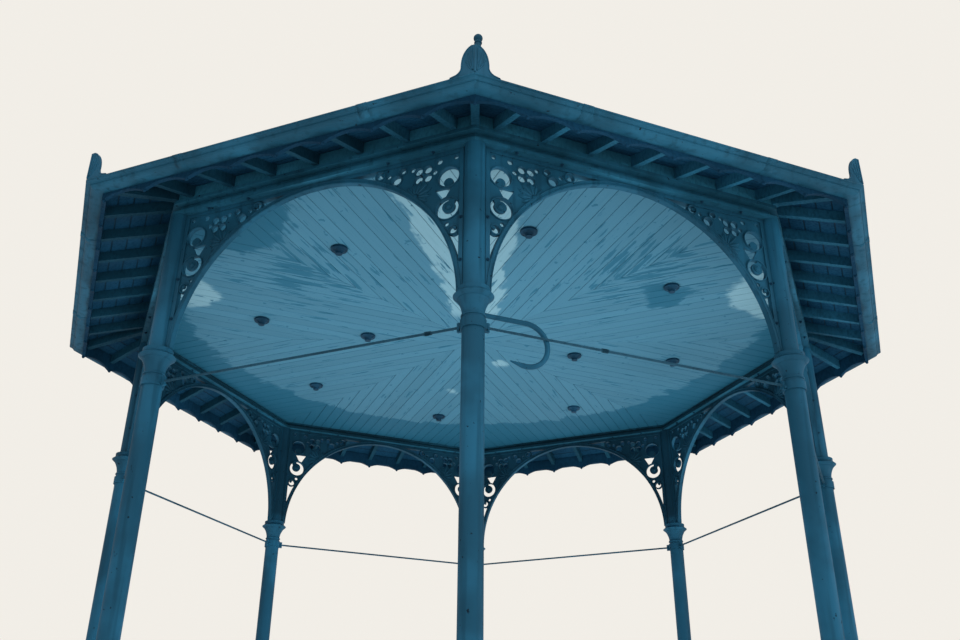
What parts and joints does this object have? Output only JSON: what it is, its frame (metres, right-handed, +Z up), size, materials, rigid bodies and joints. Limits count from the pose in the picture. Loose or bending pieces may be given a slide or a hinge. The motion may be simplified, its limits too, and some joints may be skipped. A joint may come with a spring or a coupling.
{
  "type": "octagonal open bandstand",
  "caption": "Open octagonal bandstand: slender iron columns on a low masonry base, filigree arches, boarded ceiling, swept roof with wide scalloped eaves and a ball finial.",
  "frame": {"origin": "centre of the base on the ground", "axes": "+Z up; a bay faces -Y and each of the eight bays is square to a multiple of 45 degrees from it"},
  "size_m": [6.3598, 6.3598, 8.1859],
  "materials": {
    "cast_ironwork": "satin",
    "girder_paint": "satin",
    "roof_metal": "matte",
    "masonry": "matte",
    "coping_stone": "matte",
    "floor_stone": "matte",
    "ceiling_boards": "satin",
    "fitting_paint": "satin",
    "eaves_timber": "matte",
    "fascia_paint": "satin",
    "gutter_paint": "satin",
    "wire": "satin"
  },
  "bodies": {
    "root": {"plinth": "masonry", "coping": "coping_stone", "floor_slab": "floor_stone", "column_1": "cast_ironwork", "column_2": "cast_ironwork", "column_3": "cast_ironwork", "column_4": "cast_ironwork", "column_5": "cast_ironwork", "column_6": "cast_ironwork", "column_7": "cast_ironwork", "column_8": "cast_ironwork", "arch_1": "cast_ironwork", "arch_2": "cast_ironwork", "arch_3": "cast_ironwork", "arch_4": "cast_ironwork", "arch_5": "cast_ironwork", "arch_6": "cast_ironwork", "arch_7": "cast_ironwork", "arch_8": "cast_ironwork", "girder_1": "girder_paint", "girder_2": "girder_paint", "girder_3": "girder_paint", "girder_4": "girder_paint", "girder_5": "girder_paint", "girder_6": "girder_paint", "girder_7": "girder_paint", "girder_8": "girder_paint", "roof_panel_1": "roof_metal", "roof_panel_2": "roof_metal", "roof_panel_3": "roof_metal", "roof_panel_4": "roof_metal", "roof_panel_5": "roof_metal", "roof_panel_6": "roof_metal", "roof_panel_7": "roof_metal", "roof_panel_8": "roof_metal", "ceiling": "ceiling_boards", "ceiling_fittings": "fitting_paint", "rafters": "eaves_timber", "hip_rafters": "eaves_timber", "fascia": "fascia_paint", "gutter": "gutter_paint", "antefixes": "cast_ironwork", "finial": "cast_ironwork", "taut_wire": "wire", "wire_clamps": "cast_ironwork"}
  },
  "joints": []
}
